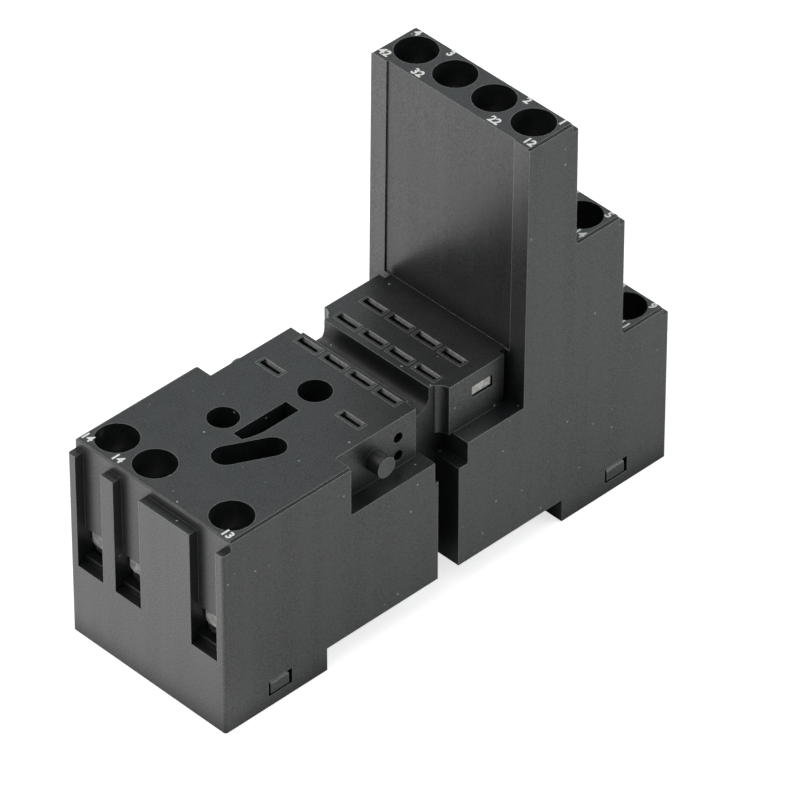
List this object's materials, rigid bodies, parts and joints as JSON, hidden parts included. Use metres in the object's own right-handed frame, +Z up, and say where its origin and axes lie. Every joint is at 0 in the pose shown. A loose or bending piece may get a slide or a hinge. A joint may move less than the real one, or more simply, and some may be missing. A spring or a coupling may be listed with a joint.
{
  "type": "relay socket",
  "caption": "Rail-mounting relay socket with a slotted seat and a stepped tower of rising-clamp screw terminals, with coil terminals at the low end",
  "frame": {"origin": "centre of the base, on the plane of the feet's undersides that a mounting panel touches", "axes": "+X across the rail from the coil end to the contact end, +Y along the rail, +Z up, away from the panel"},
  "size_m": [0.075, 0.027, 0.061],
  "materials": {
    "housing_plastic": "glass-filled moulding, fine speckle",
    "cover_plastic": "moulded, matte",
    "latch_plastic": "moulded, satin",
    "spring_steel": "bare spring strip",
    "screw_steel": "zinc plated",
    "clamp_steel": "zinc plated, bright",
    "strip_metal": "tinned"
  },
  "bodies": {
    "socket": {"housing": "housing_plastic", "coil_foot_cover": "cover_plastic", "contact_foot_cover": "cover_plastic", "latch_spring": "spring_steel", "strip_com_1": "strip_metal", "strip_com_2": "strip_metal", "strip_com_3": "strip_metal", "strip_com_4": "strip_metal", "strip_no_1": "strip_metal", "strip_no_2": "strip_metal", "strip_no_3": "strip_metal", "strip_no_4": "strip_metal", "strip_nc_1": "strip_metal", "strip_nc_2": "strip_metal", "strip_nc_3": "strip_metal", "strip_nc_4": "strip_metal", "strip_coil_a1": "strip_metal", "strip_coil_a2": "strip_metal"},
    "latch": {"rail_latch": "latch_plastic"},
    "screw_com_1_body": {"screw_com_1": "screw_steel"},
    "clamp_com_1_body": {"clamp_com_1": "clamp_steel"},
    "screw_com_2_body": {"screw_com_2": "screw_steel"},
    "clamp_com_2_body": {"clamp_com_2": "clamp_steel"},
    "screw_com_3_body": {"screw_com_3": "screw_steel"},
    "clamp_com_3_body": {"clamp_com_3": "clamp_steel"},
    "screw_com_4_body": {"screw_com_4": "screw_steel"},
    "clamp_com_4_body": {"clamp_com_4": "clamp_steel"},
    "screw_no_1_body": {"screw_no_1": "screw_steel"},
    "clamp_no_1_body": {"clamp_no_1": "clamp_steel"},
    "screw_no_2_body": {"screw_no_2": "screw_steel"},
    "clamp_no_2_body": {"clamp_no_2": "clamp_steel"},
    "screw_no_3_body": {"screw_no_3": "screw_steel"},
    "clamp_no_3_body": {"clamp_no_3": "clamp_steel"},
    "screw_no_4_body": {"screw_no_4": "screw_steel"},
    "clamp_no_4_body": {"clamp_no_4": "clamp_steel"},
    "screw_nc_1_body": {"screw_nc_1": "screw_steel"},
    "clamp_nc_1_body": {"clamp_nc_1": "clamp_steel"},
    "screw_nc_2_body": {"screw_nc_2": "screw_steel"},
    "clamp_nc_2_body": {"clamp_nc_2": "clamp_steel"},
    "screw_nc_3_body": {"screw_nc_3": "screw_steel"},
    "clamp_nc_3_body": {"clamp_nc_3": "clamp_steel"},
    "screw_nc_4_body": {"screw_nc_4": "screw_steel"},
    "clamp_nc_4_body": {"clamp_nc_4": "clamp_steel"},
    "screw_coil_a1_body": {"screw_coil_a1": "screw_steel"},
    "clamp_coil_a1_body": {"clamp_coil_a1": "clamp_steel"},
    "screw_coil_a2_inner_body": {"screw_coil_a2_inner": "screw_steel"},
    "clamp_coil_a2_inner_body": {"clamp_coil_a2_inner": "clamp_steel"},
    "screw_coil_a2_outer_body": {"screw_coil_a2_outer": "screw_steel"},
    "clamp_coil_a2_outer_body": {"clamp_coil_a2_outer": "clamp_steel"}
  },
  "joints": [
    {"name": "latch_slide", "type": "slide", "parent": "socket", "child": "latch", "axis": [1, 0, 0], "range_m": [0, 0.002], "stiffness_N_per_m": 1500, "springref_m": -0.002, "deforming": ["latch_spring"]},
    {"name": "clamp_com_1_slide", "type": "slide", "parent": "socket", "child": "clamp_com_1_body", "axis": [0, 0, 1], "range_m": [-0.0018, 0.0023]},
    {"name": "screw_com_1_turn", "type": "hinge", "parent": "socket", "child": "screw_com_1_body", "pos_m": [0.0333, -0.00997, 0.0175], "axis": [0, 0, -1], "range_deg": [-1296, 1656]},
    {"name": "clamp_com_2_slide", "type": "slide", "parent": "socket", "child": "clamp_com_2_body", "axis": [0, 0, 1], "range_m": [-0.0018, 0.0023]},
    {"name": "screw_com_2_turn", "type": "hinge", "parent": "socket", "child": "screw_com_2_body", "pos_m": [0.0333, -0.00332, 0.0175], "axis": [0, 0, -1], "range_deg": [-1296, 1656]},
    {"name": "clamp_com_3_slide", "type": "slide", "parent": "socket", "child": "clamp_com_3_body", "axis": [0, 0, 1], "range_m": [-0.0018, 0.0023]},
    {"name": "screw_com_3_turn", "type": "hinge", "parent": "socket", "child": "screw_com_3_body", "pos_m": [0.0333, 0.00332, 0.0175], "axis": [0, 0, -1], "range_deg": [-1296, 1656]},
    {"name": "clamp_com_4_slide", "type": "slide", "parent": "socket", "child": "clamp_com_4_body", "axis": [0, 0, 1], "range_m": [-0.0018, 0.0023]},
    {"name": "screw_com_4_turn", "type": "hinge", "parent": "socket", "child": "screw_com_4_body", "pos_m": [0.0333, 0.00997, 0.0175], "axis": [0, 0, -1], "range_deg": [-1296, 1656]},
    {"name": "clamp_no_1_slide", "type": "slide", "parent": "socket", "child": "clamp_no_1_body", "axis": [0, 0, 1], "range_m": [-0.0018, 0.0023]},
    {"name": "screw_no_1_turn", "type": "hinge", "parent": "socket", "child": "screw_no_1_body", "pos_m": [0.0253, -0.00997, 0.036], "axis": [0, 0, -1], "range_deg": [-1296, 1656]},
    {"name": "clamp_no_2_slide", "type": "slide", "parent": "socket", "child": "clamp_no_2_body", "axis": [0, 0, 1], "range_m": [-0.0018, 0.0023]},
    {"name": "screw_no_2_turn", "type": "hinge", "parent": "socket", "child": "screw_no_2_body", "pos_m": [0.0253, -0.00332, 0.036], "axis": [0, 0, -1], "range_deg": [-1296, 1656]},
    {"name": "clamp_no_3_slide", "type": "slide", "parent": "socket", "child": "clamp_no_3_body", "axis": [0, 0, 1], "range_m": [-0.0018, 0.0023]},
    {"name": "screw_no_3_turn", "type": "hinge", "parent": "socket", "child": "screw_no_3_body", "pos_m": [0.0253, 0.00332, 0.036], "axis": [0, 0, -1], "range_deg": [-1296, 1656]},
    {"name": "clamp_no_4_slide", "type": "slide", "parent": "socket", "child": "clamp_no_4_body", "axis": [0, 0, 1], "range_m": [-0.0018, 0.0023]},
    {"name": "screw_no_4_turn", "type": "hinge", "parent": "socket", "child": "screw_no_4_body", "pos_m": [0.0253, 0.00997, 0.036], "axis": [0, 0, -1], "range_deg": [-1296, 1656]},
    {"name": "clamp_nc_1_slide", "type": "slide", "parent": "socket", "child": "clamp_nc_1_body", "axis": [0, 0, 1], "range_m": [-0.0018, 0.0023]},
    {"name": "screw_nc_1_turn", "type": "hinge", "parent": "socket", "child": "screw_nc_1_body", "pos_m": [0.017, -0.00997, 0.0544], "axis": [0, 0, -1], "range_deg": [-1296, 1656]},
    {"name": "clamp_nc_2_slide", "type": "slide", "parent": "socket", "child": "clamp_nc_2_body", "axis": [0, 0, 1], "range_m": [-0.0018, 0.0023]},
    {"name": "screw_nc_2_turn", "type": "hinge", "parent": "socket", "child": "screw_nc_2_body", "pos_m": [0.017, -0.00332, 0.0544], "axis": [0, 0, -1], "range_deg": [-1296, 1656]},
    {"name": "clamp_nc_3_slide", "type": "slide", "parent": "socket", "child": "clamp_nc_3_body", "axis": [0, 0, 1], "range_m": [-0.0018, 0.0023]},
    {"name": "screw_nc_3_turn", "type": "hinge", "parent": "socket", "child": "screw_nc_3_body", "pos_m": [0.017, 0.00332, 0.0544], "axis": [0, 0, -1], "range_deg": [-1296, 1656]},
    {"name": "clamp_nc_4_slide", "type": "slide", "parent": "socket", "child": "clamp_nc_4_body", "axis": [0, 0, 1], "range_m": [-0.0018, 0.0023]},
    {"name": "screw_nc_4_turn", "type": "hinge", "parent": "socket", "child": "screw_nc_4_body", "pos_m": [0.017, 0.00997, 0.0544], "axis": [0, 0, -1], "range_deg": [-1296, 1656]},
    {"name": "clamp_coil_a1_slide", "type": "slide", "parent": "socket", "child": "clamp_coil_a1_body", "axis": [0, 0, 1], "range_m": [-0.0018, 0.0023]},
    {"name": "screw_coil_a1_turn", "type": "hinge", "parent": "socket", "child": "screw_coil_a1_body", "pos_m": [-0.03265, -0.00997, 0.0226], "axis": [0, 0, -1], "range_deg": [-1296, 1656]},
    {"name": "clamp_coil_a2_inner_slide", "type": "slide", "parent": "socket", "child": "clamp_coil_a2_inner_body", "axis": [0, 0, 1], "range_m": [-0.0018, 0.0023]},
    {"name": "screw_coil_a2_inner_turn", "type": "hinge", "parent": "socket", "child": "screw_coil_a2_inner_body", "pos_m": [-0.03265, 0.00332, 0.0226], "axis": [0, 0, -1], "range_deg": [-1296, 1656]},
    {"name": "clamp_coil_a2_outer_slide", "type": "slide", "parent": "socket", "child": "clamp_coil_a2_outer_body", "axis": [0, 0, 1], "range_m": [-0.0037, 0.0004]},
    {"name": "screw_coil_a2_outer_turn", "type": "hinge", "parent": "socket", "child": "screw_coil_a2_outer_body", "pos_m": [-0.03265, 0.00997, 0.0226], "axis": [0, 0, -1], "range_deg": [-2664, 288]}
  ],
  "couplings": [
    {"joint": "screw_com_1_turn", "follows": "clamp_com_1_slide", "rad_per_m": 12566},
    {"joint": "screw_com_2_turn", "follows": "clamp_com_2_slide", "rad_per_m": 12566},
    {"joint": "screw_com_3_turn", "follows": "clamp_com_3_slide", "rad_per_m": 12566},
    {"joint": "screw_com_4_turn", "follows": "clamp_com_4_slide", "rad_per_m": 12566},
    {"joint": "screw_no_1_turn", "follows": "clamp_no_1_slide", "rad_per_m": 12566},
    {"joint": "screw_no_2_turn", "follows": "clamp_no_2_slide", "rad_per_m": 12566},
    {"joint": "screw_no_3_turn", "follows": "clamp_no_3_slide", "rad_per_m": 12566},
    {"joint": "screw_no_4_turn", "follows": "clamp_no_4_slide", "rad_per_m": 12566},
    {"joint": "screw_nc_1_turn", "follows": "clamp_nc_1_slide", "rad_per_m": 12566},
    {"joint": "screw_nc_2_turn", "follows": "clamp_nc_2_slide", "rad_per_m": 12566},
    {"joint": "screw_nc_3_turn", "follows": "clamp_nc_3_slide", "rad_per_m": 12566},
    {"joint": "screw_nc_4_turn", "follows": "clamp_nc_4_slide", "rad_per_m": 12566},
    {"joint": "screw_coil_a1_turn", "follows": "clamp_coil_a1_slide", "rad_per_m": 12566},
    {"joint": "screw_coil_a2_inner_turn", "follows": "clamp_coil_a2_inner_slide", "rad_per_m": 12566},
    {"joint": "screw_coil_a2_outer_turn", "follows": "clamp_coil_a2_outer_slide", "rad_per_m": 12566}
  ]
}
